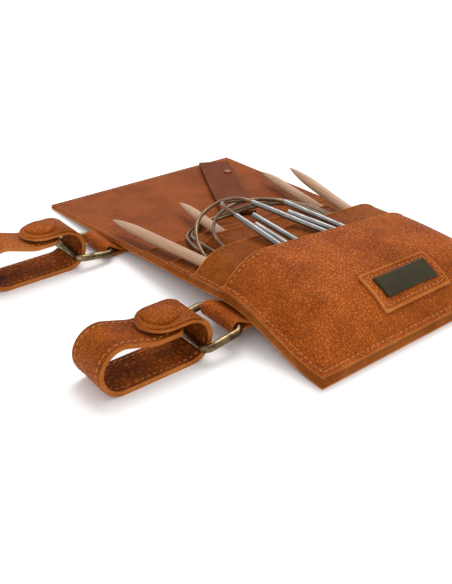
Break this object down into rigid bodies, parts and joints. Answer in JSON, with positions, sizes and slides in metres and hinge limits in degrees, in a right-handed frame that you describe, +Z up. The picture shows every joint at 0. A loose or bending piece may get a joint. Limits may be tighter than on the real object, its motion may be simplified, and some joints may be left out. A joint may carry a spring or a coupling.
{
  "type": "interchangeable needle set",
  "caption": "Open leather case with arched pockets, wooden and steel needle tips, a coiled cable and two belt loops that hang on wire rings.",
  "frame": {"origin": "centre of the whole object's box, on the surface that it lies on", "axes": "+Z up, +Y from the case's bottom edge towards the open flap, +X from the belt loops towards the case's free side edge"},
  "size_m": [0.2283, 0.252, 0.0356],
  "materials": {
    "tan_leather": "pebbled, slightly waxed",
    "inner_leather": "smooth, slightly waxed",
    "aged_brass": "aged satin",
    "birch": "smooth, oiled",
    "steel": "satin",
    "cable_sheath": "glossy"
  },
  "bodies": {
    "case": {"back_shell": "tan_leather", "back_lining": "inner_leather", "pocket_rear": "inner_leather", "pocket_second": "inner_leather", "pocket_middle": "inner_leather", "pocket_front": "tan_leather", "front_patch": "tan_leather", "front_plate": "aged_brass", "closing_strap_tail": "inner_leather", "ring_tab_near": "tan_leather", "ring_tab_far": "tan_leather", "steel_tip_a": "steel", "steel_tip_d": "steel", "cable_end_a": "steel", "cable_end_d": "steel", "cable": "cable_sheath"},
    "flap": {"flap_shell": "tan_leather", "flap_lining": "inner_leather", "closing_strap_end": "inner_leather", "closing_strap_rivet": "aged_brass"},
    "ring_near_body": {"ring_near": "aged_brass"},
    "belt_loop_near": {"loop_strap_near": "inner_leather", "snap_stud_near": "aged_brass"},
    "snap_near": {"snap_flap_near": "inner_leather", "snap_cap_near": "inner_leather", "snap_socket_near": "aged_brass"},
    "ring_far_body": {"ring_far": "aged_brass"},
    "belt_loop_far": {"loop_strap_far": "inner_leather", "snap_stud_far": "aged_brass"},
    "snap_far": {"snap_flap_far": "inner_leather", "snap_cap_far": "inner_leather", "snap_socket_far": "aged_brass"},
    "wooden_needle_left": {"wood_tip_left": "birch", "tip_ferrule_left": "aged_brass"},
    "wooden_needle_centre": {"wood_tip_centre": "birch", "tip_ferrule_centre": "aged_brass"},
    "wooden_needle_right": {"wood_tip_right": "birch", "tip_ferrule_right": "aged_brass"},
    "wooden_needle_raised": {"wood_tip_raised": "birch", "tip_ferrule_raised": "aged_brass"},
    "steel_needle_b": {"steel_tip_b": "steel"},
    "steel_needle_c": {"steel_tip_c": "steel"},
    "steel_needle_e": {"steel_tip_e": "steel"},
    "steel_needle_f": {"steel_tip_f": "steel"}
  },
  "joints": [
    {"name": "flap_fold", "type": "hinge", "parent": "case", "child": "flap", "pos_m": [0.04015, 0.08, 0.0069], "axis": [-1, 0, 0], "range_deg": [-95, 0]},
    {"name": "ring_swing_near", "type": "hinge", "parent": "case", "child": "ring_near_body", "pos_m": [-0.04035, -0.064, 0.0102], "axis": [0, 1, 0], "range_deg": [0, 40]},
    {"name": "belt_loop_swing_near", "type": "hinge", "parent": "ring_near_body", "child": "belt_loop_near", "pos_m": [-0.06175, -0.064, 0.0074], "axis": [0, 1, 0], "range_deg": [0, 30]},
    {"name": "snap_open_near", "type": "hinge", "parent": "belt_loop_near", "child": "snap_near", "pos_m": [-0.05924, -0.064, 0.02172], "axis": [0, 1, 0], "range_deg": [0, 70]},
    {"name": "ring_swing_far", "type": "hinge", "parent": "case", "child": "ring_far_body", "pos_m": [-0.04035, 0.052, 0.0044], "axis": [0, 1, 0], "range_deg": [0, 40]},
    {"name": "belt_loop_swing_far", "type": "hinge", "parent": "ring_far_body", "child": "belt_loop_far", "pos_m": [-0.06175, 0.052, 0.0074], "axis": [0, 1, 0], "range_deg": [0, 30]},
    {"name": "snap_open_far", "type": "hinge", "parent": "belt_loop_far", "child": "snap_far", "pos_m": [-0.05924, 0.052, 0.02172], "axis": [0, 1, 0], "range_deg": [0, 70]},
    {"name": "wooden_needle_out_left", "type": "slide", "parent": "case", "child": "wooden_needle_left", "axis": [-0.0556, 0.9973, -0.0484], "range_m": [0, 0.06]},
    {"name": "wooden_needle_out_centre", "type": "slide", "parent": "case", "child": "wooden_needle_centre", "axis": [0.1965, 0.9789, -0.0554], "range_m": [0, 0.06]},
    {"name": "wooden_needle_out_right", "type": "slide", "parent": "case", "child": "wooden_needle_right", "axis": [0.2094, 0.9777, -0.0129], "range_m": [0, 0.02]},
    {"name": "wooden_needle_out_raised", "type": "slide", "parent": "case", "child": "wooden_needle_raised", "axis": [0.1222, 0.9847, 0.124], "range_m": [0, 0.06]},
    {"name": "steel_needle_out_b", "type": "slide", "parent": "case", "child": "steel_needle_b", "axis": [-0.0978, 0.9825, 0.1583], "range_m": [0, 0.006]},
    {"name": "steel_needle_out_c", "type": "slide", "parent": "case", "child": "steel_needle_c", "axis": [-0.1524, 0.9719, 0.1795], "range_m": [0, 0.012]},
    {"name": "steel_needle_out_e", "type": "slide", "parent": "case", "child": "steel_needle_e", "axis": [-0.3053, 0.9385, 0.1611], "range_m": [0, 0.025]},
    {"name": "steel_needle_out_f", "type": "slide", "parent": "case", "child": "steel_needle_f", "axis": [-0.3968, 0.9025, 0.1673], "range_m": [0, 0.01]}
  ]
}
